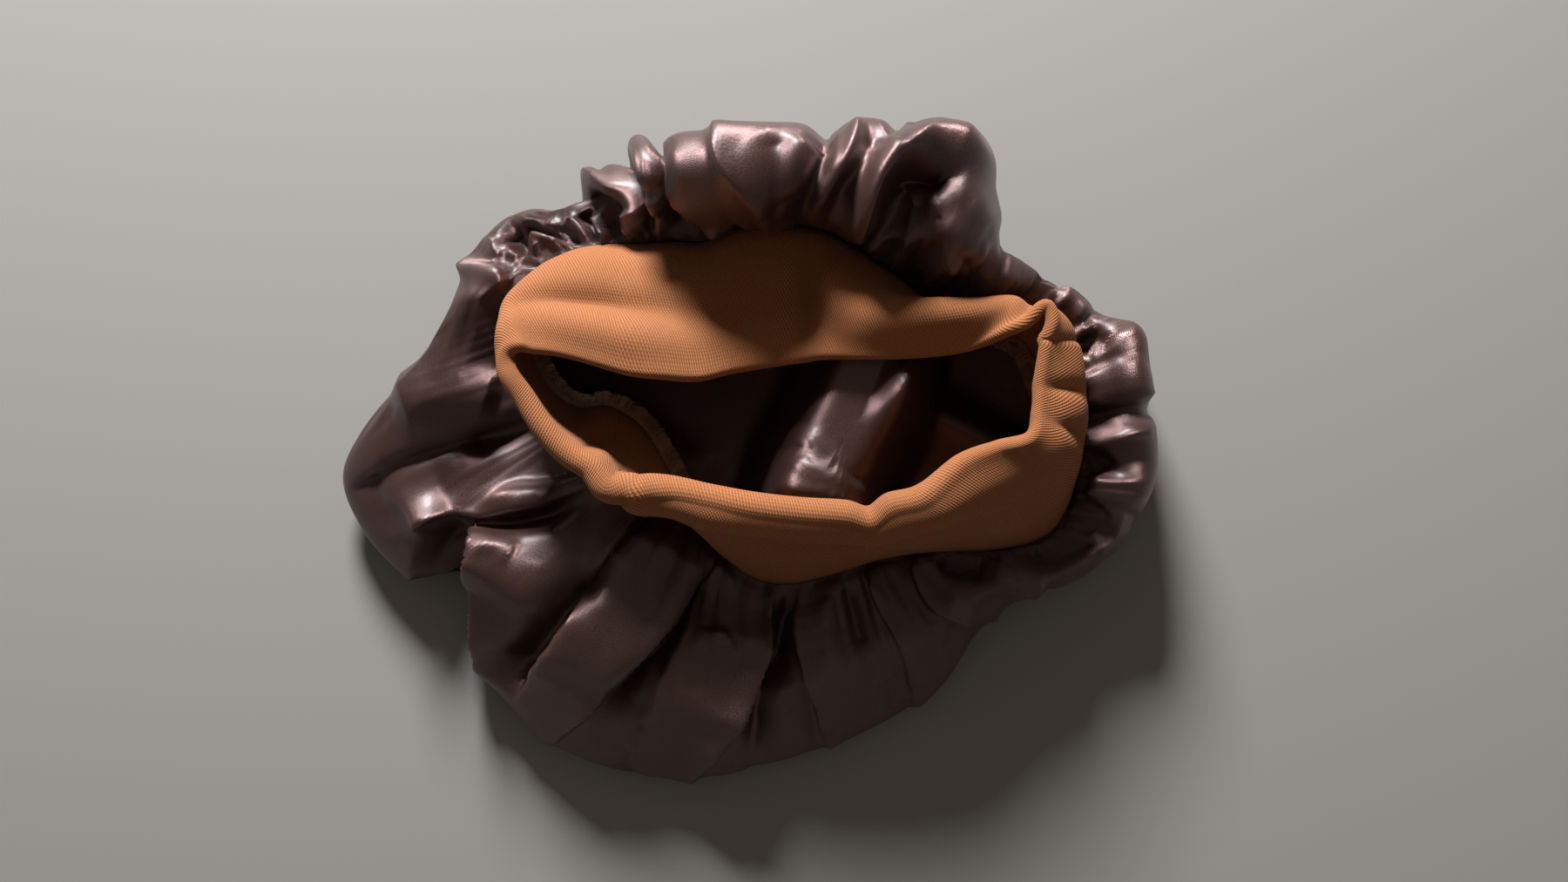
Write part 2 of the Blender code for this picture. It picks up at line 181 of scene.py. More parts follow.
# %% Sections of the bag
# crest_x crest_y crest_z | edge_x edge_y edge_z, at the same stations
CROWN_SECTIONS = np.array([
    (-91, 68, 42, -112, 71, 20),
    (-82, 77, 41, -104, 83, 20),
    (-71, 83, 43, -94, 91, 20),
    (-58, 85, 47, -75, 96, 22),
    (-46, 85, 57, -61, 103, 28),
    (-35, 86, 71, -46, 115, 37),
    (-26, 87, 81, -31, 115, 43),
    (-7, 87, 87, -9, 116, 48),  # far lobes, the highest part of the satin
    (16, 88, 88, 17, 118, 50),
    (37, 87, 86, 44, 120, 48),
    (57, 82, 86, 71, 119, 45),
    (72, 75, 85, 95, 112, 44),
    (84, 66, 77, 104, 89, 40),
    (96, 60, 58, 105, 73, 30),
    (114, 56, 50, 124, 62, 22),
    (129, 49, 45, 140, 53, 19),
    (142, 37, 44, 155, 41, 19),
    (149, 16, 44, 164, 16, 19),
    (152, -6, 43, 166, -5, 19),
    (151, -27, 41, 162, -28, 18),
    (141, -43, 38, 152, -47, 17),
    (123, -54, 36, 133, -60, 16),
    (101, -59, 35, 113, -67, 15),
    (83, -66, 34, 98, -79, 14),
    (67, -76, 34, 83, -100, 13),
    (50, -84, 34, 60, -115, 12),
    (27, -90, 34, 31, -127, 12),
    (4, -92, 35, 2, -136, 12),
    (-18, -90, 37, -28, -138, 12),
    (-39, -82, 39, -58, -133, 12),
    (-60, -70, 40, -86, -118, 13),
    (-80, -54, 41, -106, -90, 14),
    (-94, -42, 40, -119, -63, 15),
    (-112, -32, 37, -138, -56, 15),
    (-117, -16, 36, -154, -40, 15),
    (-117, 3, 38, -164, -16, 15),
    (-115, 21, 42, -152, 7, 16),
    (-110, 37, 47, -133, 28, 18),
    (-104, 54, 51, -117, 53, 20),
], float)
CREST, EDGE = slice(0, 3), slice(3, 6)
print("highest crest, mm:", CROWN_SECTIONS[:, 2].max())

# %% Smooth curves through the tables
FINE_STEPS = 1440
TINY = 1e-9


def cubic(before, here, after, beyond, t):
    """Point at share t of the way from here to after, on a smooth curve through all four."""
    bend = 2 * before - 5 * here + 4 * after - beyond
    turn = 3 * here - before - 3 * after + beyond
    return here + 0.5 * t * (after - before + t * (bend + t * turn))


def closed_curve(rows, at):
    """Smooth closed curve through the rows, read at row numbers that may lie between them."""
    first = np.floor(at).astype(int)
    four = (rows[(first + step) % len(rows)] for step in (-1, 0, 1, 2))
    return cubic(*four, (at - first)[:, None])


def through(knots, share):
    """Smooth open curve through a list of knots, at a share from 0 to 1."""
    knots = [2 * knots[0] - knots[1]] + list(knots) + [2 * knots[-1] - knots[-2]]
    spans = len(knots) - 3
    place = min(share * spans, spans - TINY)
    first = int(place)
    return cubic(*knots[first:first + 4], place - first)


def even_stations(count):
    """Row numbers spaced so that stations stand evenly along seam, rim and outer edge together."""
    fine = np.linspace(0, len(BAND_SECTIONS), FINE_STEPS, endpoint=False)
    columns = (BAND_SECTIONS[:, SEAM], BAND_SECTIONS[:, RIM], CROWN_SECTIONS[:, EDGE])
    curves = [closed_curve(column, fine) for column in columns]
    step = sum(np.linalg.norm(np.roll(curve, -1, 0) - curve, axis=1) for curve in curves)
    run = np.concatenate([[0.0], np.cumsum(step)])
    wanted = np.linspace(0, run[-1], count, endpoint=False)
    return np.interp(wanted, run, np.linspace(0, len(BAND_SECTIONS), FINE_STEPS + 1))


def unit(vectors):
    """The same directions with length one."""
    return vectors / np.maximum(np.linalg.norm(vectors, axis=-1, keepdims=True), TINY)


def normals(grid):
    """Unit normals of a grid that is closed along its second axis."""
    across = np.roll(grid, -1, 1) - np.roll(grid, 1, 1)
    return unit(np.cross(across, np.gradient(grid, axis=0)))


def inward(seam):
    """Unit plan direction from each seam station into the mouth."""
    along = np.roll(seam, -1, 0) - np.roll(seam, 1, 0)
    return unit(np.stack([along[:, 1], -along[:, 0], np.zeros(len(seam))], 1))


# %% [markdown]
# ## Folds as strokes
# A fold in cloth is a line with a height and two flanks, one often steeper than the other. So each
# fold is one row: the points it runs through, how high it stands, how far it spreads to the left and
# to the right of the line, and how sharp its crest is (1.5 is a crease, 2 a soft roll, 4.5 a flat top
# with steep sides). Cloth also falls over its steep side, so a crest leans that way and leaves a dark
# line under it. The points are where the fold is seen from above at a given height, so distances are
# taken in that view.

# %% Stroke heights
LEAN = 0.9  # share of its height that a crest leans over its steep side
FLANK_REACH = 3.2  # a stroke ends this many spreads from its line
LINE_STEPS = 6  # straight pieces between two points of a line
END_FILL, END_ROUND = 1.9, 1.3  # how soon and how roundly a stroke is full from its ends


def seen_at(points, height):
    """Plan position where the eye sees each point, moved along its line of sight to one height."""
    reach = (EYE[2] - height) / (EYE[2] - points[:, 2:3])
    return EYE[:2] + (points[:, :2] - EYE[:2]) * reach


def stroke_lift(plan, path, height, left, right, sharp):
    """What one stroke adds at each plan position: sideways lean in x and y, and height."""
    knots = [np.array(point, float) for point in path]
    line = np.array([through(knots, t) for t in np.linspace(0, 1, LINE_STEPS * (len(path) - 1) + 1)])
    reach = FLANK_REACH * max(left, right)
    close = np.all((plan > line.min(0) - reach) & (plan < line.max(0) + reach), axis=1)
    spots = plan[close]
    nearest = np.full(len(spots), np.inf)
    side = np.zeros(len(spots))
    along = np.zeros(len(spots))
    to_left = np.zeros((len(spots), 2))
    for step in range(len(line) - 1):
        run = line[step + 1] - line[step]
        share = np.clip((spots - line[step]) @ run / (run @ run), 0, 1)
        away = spots - line[step] - share[:, None] * run
        gap = np.hypot(away[:, 0], away[:, 1])
        closer = gap < nearest
        nearest = np.where(closer, gap, nearest)
        turn = (run[0] * away[:, 1] - run[1] * away[:, 0]) / np.maximum(np.hypot(*run) * gap, TINY)
        side = np.where(closer, turn, side)
        along = np.where(closer, (step + share) / (len(line) - 1), along)
        to_left[closer] = np.array([-run[1], run[0]]) / np.hypot(*run)
    spread = (left + right) / 2 + (left - right) / 2 * side
    taper = np.clip(np.sin(np.pi * along) * END_FILL, 0, 1) ** END_ROUND
    lift = height * taper * np.exp(-(nearest / spread) ** sharp)
    lean = LEAN * (right - left) / (right + left) * np.maximum(lift, 0)
    added = np.zeros((len(plan), 3))
    added[close] = np.concatenate([to_left * lean[:, None], lift[:, None]], axis=1)
    return added


def fold_lift(points, tables):
    """Sum of all strokes, each table read at its own height over the table top."""
    total = np.zeros((len(points), 3))
    for height, strokes in tables:
        plan = seen_at(points, height)
        for _name, path, *shape in strokes:
            total += stroke_lift(plan, path, *shape)
    return total


# %% [markdown]
# ## The folds of the bag
# Five tables, one for each side of the bonnet and one for the floor of the bag. The far side stands up
# in full lobes between deep pleats, the left lies in two broad folds, the near side falls in long
# pleats like a curtain, the right is drawn smooth, and one flat-topped fold stands up from the floor.
# A row is only needed where the eye finds a line.

# %% Folds of the far side
# name | points of the line | height | spread left | spread right | sharpness
FAR_FOLDS = [
    ("lobe left edge", ((-27, 122), (-27, 114), (-27, 105), (-26, 96), (-20, 89), (-13, 83), (-2, 76)),
     4, 9, 2.4, 1.5),
    ("notch by the lobe", ((-36, 140), (-32, 119), (-29, 106), (-28, 94), (-24, 84)), -9, 4, 4, 1.6),
    ("pit under the lobe", ((-26, 92), (-24, 84), (-15, 79), (-6, 76)), -12, 5, 6, 1.8),
    ("lobe fold", ((-10, 124), (-7, 115), (-5, 107), (0, 103), (6, 99), (11, 95), (14, 90), (16, 78)),
     5, 9, 3, 1.4),
    ("lobe swell", ((28, 114), (25, 105), (22, 95)), 3, 7, 7, 2),
    ("lobe slack", ((14, 115), (16, 105), (19, 92)), -3, 6, 6, 2),
    ("pocket rim", ((-12, 88), (-9, 84), (-2, 82)), 4, 3, 3, 1.6),
    ("pocket", ((-5, 88), (-3, 85), (1, 83)), -4, 3, 3, 2),
    ("sewn seam", ((40, 140), (37, 121), (38, 115), (37, 107), (34, 101), (28, 88)), 3.2, 2, 2, 1.6),
    ("left of the seam", ((36, 136), (35, 113), (30, 99), (23, 80)), -7, 3.5, 6, 1.8),
    ("ridge by the seam", ((46, 125), (47, 117), (45, 110), (37, 99), (32, 94), (29, 88), (25, 82)),
     6.5, 5, 4, 1.6),
    ("valley by the ridge", ((56, 117), (51, 111), (47, 104), (42, 98), (38, 88)), -9, 5, 5, 1.6),
    ("crescent", ((52, 74), (51, 84), (51, 93), (54, 102), (61, 108), (70, 112), (80, 113), (92, 109),
                  (104, 98)), 13, 7, 4.5, 1.9),
    ("crescent hollow", ((61, 78), (62, 88), (67, 98), (77, 103), (90, 100)), -13, 5, 12, 2),
    ("crescent foot", ((53, 78), (58, 71), (64, 64)), 6, 5, 4, 1.6),
    ("thin fold", ((65, 94), (67, 83), (68, 72), (67, 63)), 4, 3, 3, 1.4),
    ("flap", ((54, 114), (60, 119), (69, 119)), 3, 5, 4, 2),
    ("pit by the flap", ((56, 112), (60, 117), (65, 124)), -6, 4, 4, 1.8),
    ("corner light", ((78, 84), (87, 75), (96, 70)), 4, 6, 7, 1.8),
    ("corner patch", ((74, 62), (79, 66), (88, 70)), 5, 6, 5, 1.8),
    ("petal edge", ((-72, 100), (-66, 99), (-58, 98), (-51, 96), (-45, 94), (-41, 89), (-39, 83),
                    (-38, 76)), 6.5, 3.5, 8, 1.8),
    ("petal valley", ((-86, 97), (-75, 94), (-66, 94), (-58, 91), (-52, 87), (-49, 81), (-48, 72)),
     -10, 4, 4, 1.6),
    ("petal curl", ((-47, 88), (-45, 83), (-46, 79)), 4, 5, 5, 2),
    ("behind the petal", ((-54, 120), (-47, 108), (-43, 98), (-38, 90), (-37, 74)), -10, 5, 4, 1.7),
    ("lit strip", ((-33, 97), (-31, 87), (-33, 78)), 4, 4, 4, 1.8),
    ("gather a", ((-84, 80), (-79, 76), (-73, 74), (-66, 73), (-60, 72)), 5.5, 2.6, 2.6, 1.6),
    ("valley a", ((-86, 83), (-83, 80), (-76, 78), (-70, 76), (-66, 74), (-61, 73)), -7, 1.8, 1.8, 1.4),
    ("gather between", ((-76, 84), (-71, 80), (-66, 76)), 3, 3, 2.4, 1.8),
    ("valley between", ((-72, 81), (-69, 79), (-66, 77), (-62, 74), (-60, 72)), -5, 1.6, 1.6, 1.4),
    ("gather c", ((-69, 86), (-64, 82), (-60, 77), (-58, 73)), 3.5, 2.4, 2.2, 1.6),
    ("gather b", ((-58, 87), (-54, 81), (-53, 75)), 5, 4, 3, 1.6),
    ("valley b", ((-63, 86), (-61, 84), (-59, 81), (-57, 77), (-56, 72)), -7, 1.8, 1.8, 1.4),
    ("left hollow", ((-94, 81), (-90, 78), (-86, 74), (-82, 71)), -9, 4, 4, 2),
    ("small light", ((-85, 75), (-81, 73), (-78, 70)), 3.5, 3, 3, 1.5),
    ("hook left", ((-95, 76), (-96, 71), (-93, 67)), 4, 3, 3, 1.5),
    ("hook right", ((-92, 75), (-89, 70), (-86, 67)), 4, 3, 3, 1.5),
    ("small left lobe", ((-109, 62), (-102, 62), (-91, 59)), 5, 5, 4, 2),
]

# %% Folds of the right and the left side
RIGHT_FOLDS = [
    ("rim light", ((101, 67), (109, 62), (119, 58)), 3.5, 3, 4, 1.7),
    ("scallop a", ((126, 55), (133, 51), (139, 45)), 4, 3, 3, 1.7),
    ("ridge b", ((141, 44), (135, 39), (133, 36)), 5, 3, 3, 1.5),
    ("pocket b", ((136, 33), (142, 37), (149, 36)), -6, 4, 5, 2),
    ("scallop b", ((142, 40), (150, 36), (152, 26), (155, 15), (159, 9)), 6, 4, 4, 1.7),
    ("right light", ((141, 25), (145, 17), (145, 9)), 6, 6, 6, 2),
    ("spur", ((160, 8), (155, 1), (149, -3), (141, -3), (134, -4), (131, -9), (131, -20)),
     7, 4, 5, 1.6),
    ("spur shade", ((150, -8), (143, -14), (134, -26)), -5, 5, 5, 2),
    ("low light", ((148, -16), (147, -23), (142, -28)), 6.5, 5, 4, 1.6),
    ("lobe line", ((114, -45), (117, -49), (123, -49), (135, -46), (143, -46)), -4.5, 3, 4, 1.5),
    ("lower lobe", ((100, -52), (110, -57), (122, -60)), 5, 6, 6, 2),
]
LEFT_FOLDS = [
    ("shoulder light", ((-140, 12), (-118, 16), (-96, 12)), 5, 13, 13, 2),
    ("dark line", ((-156, -24), (-147, -19), (-136, -12), (-122, -7), (-108, -3), (-94, 3), (-80, 8)),
     -5, 2, 4, 1.2),
    ("dark mouth", ((-112, -5), (-100, -1), (-90, 2), (-78, 8), (-70, 12)), -5, 4, 6, 1.7),
    ("second valley", ((-127, -35), (-116, -29), (-107, -25), (-98, -19), (-89, -16), (-76, -15),
                       (-50, -10)), -8, 16, 4, 1.7),
    ("fold lip", ((-70, -22), (-80, -25), (-90, -27), (-103, -29), (-115, -29), (-125, -33),
                  (-133, -42)), 6.5, 2.2, 6, 1.3),
    ("lip, band end", ((-36, -10), (-50, -16), (-66, -22), (-84, -26), (-104, -29)), 3.5, 2.2, 5, 1.3),
    ("lip, lower part", ((-112, -27), (-122, -31), (-127, -38), (-129, -46), (-131, -56), (-137, -78)),
     2, 2.2, 6, 1.3),
    ("hollow under the lip", ((-56, -22), (-75, -28), (-90, -31), (-105, -33), (-114, -38), (-119, -47),
                              (-121, -62)), -15, 7, 6, 2),
    ("gap in the outline", ((-108, -38), (-112, -50), (-114, -64), (-116, -80)), -9, 5, 5, 1.8),
    ("bright spot", ((-100, -42), (-94, -45), (-87, -47)), 3, 4, 5, 2),
]

# %% Folds of the near side
NEAR_FOLDS = [
    ("face edge", ((-109, -28), (-107, -36), (-104, -47), (-101, -60), (-101, -80), (-101, -110)),
     7, 12, 2.4, 1.2),
    ("thin strip", ((-40, -29), (-44, -35), (-52, -45), (-62, -62)), 4, 3, 5, 1.6),
    ("slit", ((-36, -29), (-40, -37), (-49, -50), (-60, -68)), -6, 2.6, 2.6, 1.6),
    ("deep valley", ((-48, -50), (-60, -64), (-70, -72), (-78, -82), (-86, -92), (-93, -101)),
     -14, 5, 8, 1.7),
    ("strip left edge", ((-38, -30), (-44, -40), (-52, -54), (-59, -65), (-66, -76), (-78, -94),
                         (-90, -110)), 7, 15, 2.2, 1.15),
    ("strip right edge", ((-12, -36), (-16, -45), (-20, -58), (-30, -74), (-44, -90), (-60, -107),
                          (-84, -130)), 7, 2.2, 15, 1.15),
    ("valley right of it", ((-14, -50), (-21, -66), (-32, -84), (-46, -97), (-62, -111)),
     -13, 8, 4, 1.6),
    ("next fold", ((-6, -49), (-9, -55), (-17, -68), (-22, -82), (-34, -102)), 5, 9, 3, 1.2),
    ("cup light", ((-9, -77), (-9, -83), (-4, -81)), 3.5, 4, 4, 2),
    ("small ridge", ((14, -52), (13, -63), (12, -74), (6, -92)), 3, 2.4, 2.4, 1.4),
    ("middle edge", ((14, -74), (8, -87), (3, -97), (-4, -110), (-12, -122), (-24, -144)),
     8, 2.2, 15, 1.15),
    ("middle valley", ((21, -56), (17, -76), (13, -90), (8, -105), (4, -140)), -9, 6, 4, 1.7),
    ("right edge", ((24, -58), (25, -80), (29, -97), (33, -108), (38, -134)), 6, 9, 2.2, 1.15),
    ("soft fold a", ((37, -58), (36, -72), (38, -95)), 3.5, 4, 4, 1.7),
    ("soft valley a", ((42, -60), (46, -72), (49, -88)), -4, 4, 4, 1.7),
    ("soft fold b", ((51, -50), (53, -56), (57, -68), (64, -80), (69, -95), (76, -124)),
     5, 9, 2.4, 1.2),
    ("flap edge", ((71, -46), (72, -52), (75, -62), (80, -68), (90, -70), (110, -75)), 6, 9, 2.2, 1.2),
    ("flap pit", ((80, -52), (90, -52), (100, -54)), -7, 5, 5, 2),
]

# %% Folds of the floor, and the height at which each table was read
FLOOR_FOLDS = [
    ("hump", ((66, 80), (52, 34), (46, 14), (38, -3), (30, -22), (22, -66)), 58, 27, 23, 4.5),
    ("hump, near half", ((44, -12), (32, -26), (22, -48)), 6, 26, 26, 2),
    ("crossfold valley", ((14, -5), (28, -11), (40, -17), (52, -22)), -4, 3, 2, 1.6),
    ("crossfold ridge", ((18, -11), (32, -16), (44, -20)), 2.5, 3, 3, 1.6),
    ("hump back", ((54, 20), (74, 12), (96, 2), (124, -16)), 16, 12, 16, 1.8),
    ("left wrinkle", ((-70, 20), (-40, -4), (-6, -16)), 5, 10, 10, 2),
]
# height over the table in mm | strokes
SIDE_FOLDS = [(50, FAR_FOLDS), (40, RIGHT_FOLDS), (35, LEFT_FOLDS), (28, NEAR_FOLDS)]
print("strokes:", sum(len(strokes) for _height, strokes in SIDE_FOLDS) + len(FLOOR_FOLDS))

# %% [markdown]
# ## The bag
# A gathered bag is a grid: stations round the mouth, rows from the seam over the crest to the middle
# of the floor. The rows follow the section tables, and irregular pleats are drawn in at the seam. The
# way down is a share: 0 at the seam, 1 at the foot on the table, and 2 in the middle of the floor.

# %% Bag shape
STATIONS = 320
# name | from share | to share | rows of the grid
BAG_ROWS = (("seam to crest", 0.0, 0.25, 23), ("crest to brow", 0.25, 0.5, 13),
            ("brow to edge", 0.5, 0.75, 13), ("edge to foot", 0.75, 1.0, 7), ("floor", 1.0, 2.0, 21))
SEAM_GAP, SEAM_RISE = 0.4, 0.3  # how far the satin stands off the band at the seam
FOOT_HEIGHT = 0.3
CROWN_MIDDLE = np.array([44.0, 2.0, FOOT_HEIGHT])
# row number of the station | how far in from the edge the brow lies | how high up to the crest
BROW = ((0, 4, 6, 12, 14, 20, 23, 33, 36, 39),
        (0.30, 0.34, 0.44, 0.44, 0.34, 0.34, 0.50, 0.50, 0.34, 0.30),
        (0.72, 0.88, 1.04, 1.02, 0.80, 0.74, 0.55, 0.62, 0.70, 0.72))
FOOT_IN = 0.045  # where the foot meets the table, as a share of the way from edge to middle
FOOT_TUCK = 0.0028  # how much further in, for each millimetre of the edge's height
FLOOR_BUNCH = 0.8  # below 1, the floor's rows stand closer towards its middle


def bag_base(at, shares):
    """The smooth bag before any fold, one row of points for each share."""
    seam = closed_curve(BAND_SECTIONS[:, SEAM], at)
    crest = closed_curve(CROWN_SECTIONS[:, CREST], at)
    edge = closed_curve(CROWN_SECTIONS[:, EDGE], at)
    start = seam - inward(seam) * SEAM_GAP + np.array([0, 0, SEAM_RISE])
    brow_in, brow_up = (np.interp(at, BROW[0], column)[:, None] for column in BROW[1:])
    brow = edge + (crest - edge) * np.concatenate([brow_in, brow_in, brow_up], axis=1)
    foot = edge + (CROWN_MIDDLE - edge) * (FOOT_IN + FOOT_TUCK * edge[:, 2:3])
    foot[:, 2] = FOOT_HEIGHT
    rib = [start, crest, brow, edge, foot]
    rows = []
    for share in shares:
        if share <= 1:
            rows.append(through(rib, share))
        else:
            rows.append(foot + (CROWN_MIDDLE - foot) * (share - 1) ** FLOOR_BUNCH)
    return np.array(rows)


stations = even_stations(STATIONS)
shares = np.concatenate([np.linspace(a, b, n, endpoint=False) for _name, a, b, n in BAG_ROWS])
smooth_bag = bag_base(stations, shares)
print("bag grid:", smooth_bag.shape)

# %% Pleats and lobes
# name | seed | how many | height | shortest and longest, as shares of the way down | sideways wander
LONG_FOLDS = ("long folds", 5, 27, 2.4, 0.40, 0.80, 0.8)
GATHERS = ("gathers", 7, 104, 4.0, 0.10, 0.34, 0.3)
PLEAT_WIDTHS, PLEAT_HEIGHTS, PLEAT_SKEWS = (0.6, 1.5), (0.4, 1), (0.6, 1.6)
WANDER_ROUND, WANDER_DOWN = 1.7, 3  # radians of the wander for each station and for each share
PLEAT_TOP, LOBE_TOP = 0.65, 0.6  # below 1, tops are full and valleys are sharp
PLEAT_START, PLEAT_END = 0.03, 1.5  # share at which a pleat is full, and how softly it runs out
LOBE_START, LOBE_END = 9, 6
# name | from station | to station | height | reach, as a share of the way down
LOBES = [
    ("lobe behind the petal", 4.85, 6.30, 6.0, 0.70),
    ("great lobe", 6.30, 8.75, 7.0, 0.62),
    ("lobe right of the seam", 8.75, 9.85, 4.0, 0.65),
    ("right fan", 12.2, 14.0, 3.0, 0.60),
    ("right lobe a", 15.6, 17.3, 6.0, 0.70),
    ("right lobe b", 17.3, 19.2, 6.0, 0.70),
]
# row number of the station | how tightly the satin is gathered there
SLACK = ((0, 3.2, 4.2, 7, 11, 14, 19, 22, 29, 32, 37, 39),
         (0.3, 0.3, 0.7, 0.5, 0.5, 0.8, 0.8, 0.7, 0.7, 0.15, 0.15, 0.3))


def pleats(at, shares, kind):
    """Irregular folds from the seam, each with its own width, length, height and skew."""
    _name, seed, count, height, shortest, longest, wander = kind
    dice = np.random.default_rng(seed)
    ends = np.cumsum(dice.uniform(*PLEAT_WIDTHS, count))
    ends = ends / ends[-1] * len(BAND_SECTIONS)
    starts = np.concatenate([[0.0], ends[:-1]])
    tall, length, skew = (dice.uniform(low, high, count)
                          for low, high in (PLEAT_HEIGHTS, (shortest, longest), PLEAT_SKEWS))
    down = np.array(shares)[:, None]
    swing = np.sin(WANDER_ROUND * at[None, :] + WANDER_DOWN * down)
    place = (at[None, :] + wander * down * swing) % len(BAND_SECTIONS)
    fold = np.minimum(np.searchsorted(ends, place, side="right"), count - 1)
    across = np.clip((place - starts[fold]) / (ends[fold] - starts[fold]), 0, 1) ** skew[fold]
    top = np.sin(np.pi * across) ** PLEAT_TOP
    begun = 1 - np.exp(-(down / PLEAT_START) ** 2)
    return height * top * tall[fold] * begun * np.exp(-(down / length[fold]) ** PLEAT_END)


def lobes(at, shares):
    """Full lobes between sharp valleys, each between two stations."""
    down = np.array(shares)[:, None]
    total = np.zeros((len(shares), len(at)))
    for _name, first, last, height, reach in LOBES:
        across = np.clip((at - first) / (last - first), 0, 1)[None, :]
        top = np.sin(np.pi * across) ** LOBE_TOP
        total += height * top * np.clip(down * LOBE_START, 0, 1) * np.exp(-(down / reach) ** LOBE_END)
    return total


slack = np.interp(stations, *SLACK)
folds = pleats(stations, shares, LONG_FOLDS) * slack + lobes(stations, shares)
bag = smooth_bag + normals(smooth_bag) * folds[:, :, None]
print("pleats and lobes stand up to", round(float(folds.max()), 1), "mm")

# %% [markdown]
# ## Letting the cloth buckle
# Strokes can put folds where they are seen, but only cloth physics gives the small creases that
# gathered satin has. So the bag becomes cloth that is a little too long for its shape, most of all at
# the seam, where the real one is drawn up. Weak springs hold it near the smooth shape, seam and floor
# hold it fast, and it buckles by itself. It is run ten times larger than life.

# %% Cloth run
RUN_SCALE = 0.01
RUN_FRAMES = 30
# share of the way down | how firmly the cloth is held there
HOLD = ((0.0, 0.12, 0.5, 0.9, 1.0), (0.05, 0.05, 0.12, 0.3, 0.9))
# share of the way down | how much of the extra length it gets
LOOSE = ((0.0, 0.05, 0.14, 0.3, 1.0), (0.6, 0.5, 0.2, 0.03, 0.0))
RUN_SETTINGS = {
    "quality": 5, "mass": 0.3, "tension_stiffness": 15.0, "compression_stiffness": 15.0,
    "shear_stiffness": 5.0, "bending_stiffness": 0.3, "vertex_group_mass": "hold",
    "pin_stiffness": 0.3, "vertex_group_shrink": "loose", "shrink_min": -0.012, "shrink_max": -0.5,
}


def grid_faces(depth, count, closed_down=False):
    """Quads of a grid that is closed round the mouth, and down as well where it is a tube."""
    faces = []
    for row in range(depth if closed_down else depth - 1):
        here, below = row * count, (row + 1) % depth * count
        for i in range(count):
            j = (i + 1) % count
            faces.append((here + i, here + j, below + j, below + i))
    return faces


def buckle(grid, shares, slack):
    """Runs the grid as loose cloth and gives back where it came to rest."""
    depth, count = grid.shape[:2]
    mesh = bpy.data.meshes.new("cloth_run")
    mesh.from_pydata((grid.reshape(-1, 3) * RUN_SCALE).tolist(), [], grid_faces(depth, count))
    cloth = linked("cloth_run", mesh)
    hold = cloth.vertex_groups.new(name="hold")
    loose = cloth.vertex_groups.new(name="loose")
    for row, share in enumerate(shares):
        ring = list(range(row * count, (row + 1) * count))
        fast = row == 0 or share >= 1
        hold.add(ring, 1.0 if fast else float(np.interp(share, *HOLD)), "REPLACE")
        for i, vertex in enumerate(ring):
            loose.add([vertex], float(np.interp(share, *LOOSE) * slack[i]), "REPLACE")
    run = cloth.modifiers.new("cloth", "CLOTH")
    for name, value in RUN_SETTINGS.items():
        setattr(run.settings, name, value)
    run.settings.effector_weights.gravity = 0.0
    run.collision_settings.use_collision = False
    run.point_cache.frame_end = RUN_FRAMES
    for frame_number in range(1, RUN_FRAMES + 1):
        scene.frame_set(frame_number)
    rested = cloth.evaluated_get(bpy.context.evaluated_depsgraph_get()).data
    spots = np.zeros(len(rested.vertices) * 3)
    rested.vertices.foreach_get("co", spots)
    scene.frame_set(1)
    bpy.data.objects.remove(cloth, do_unlink=True)
    return spots.reshape(grid.shape) / RUN_SCALE


def finer(grid):
    """Twice the stations and twice the rows, on smooth curves through the old ones."""
    half_way = np.arange(0, grid.shape[1], 0.5)
    wide = np.array([closed_curve(row, half_way) for row in grid])
    padded = np.concatenate([2 * wide[:1] - wide[1:2], wide, 2 * wide[-1:] - wide[-2:-1]])
    between = (9 * (padded[1:-2] + padded[2:-1]) - padded[:-3] - padded[3:]) / 16
    fine = np.empty((2 * len(wide) - 1,) + wide.shape[1:])
    fine[0::2] = wide
    fine[1::2] = between
    return fine


before_run = bag
bag = buckle(bag, shares, slack)
print("buckled by up to", round(float(np.abs(bag - before_run).max()), 1), "mm")
bag = finer(bag)
smooth_bag = finer(smooth_bag)
fine_shares = np.interp(np.arange(len(bag)) / 2, np.arange(len(shares)), shares)
closed_stations = np.append(stations, len(BAND_SECTIONS))
fine_stations = np.interp(np.arange(2 * STATIONS) / 2, np.arange(STATIONS + 1), closed_stations)
gathers = pleats(fine_stations, fine_shares, GATHERS) * np.interp(fine_stations, *SLACK)
bag = bag + normals(smooth_bag) * gathers[:, :, None]
print("fine bag grid:", bag.shape)

# %% [markdown]
# ## Laying the folds on
# The folds come after the run and on the fine grid, so their edges stay crisp. They move the cloth
# along the smooth bag's normals, and fade out at the seam and under the foot, where the cloth lies
# flat. The folds of the floor only rise, and nothing goes below the table.

# %% Folds on the bag
SEAM_FADE = 12  # folds are full at a twelfth of the way down
FOOT_END, FOOT_FADE = 0.92, 8  # and gone at this share, fading over an eighth of the way
FLOOR_FROM, FLOOR_OVER = 1.02, 0.12
TABLE_GAP = 0.25

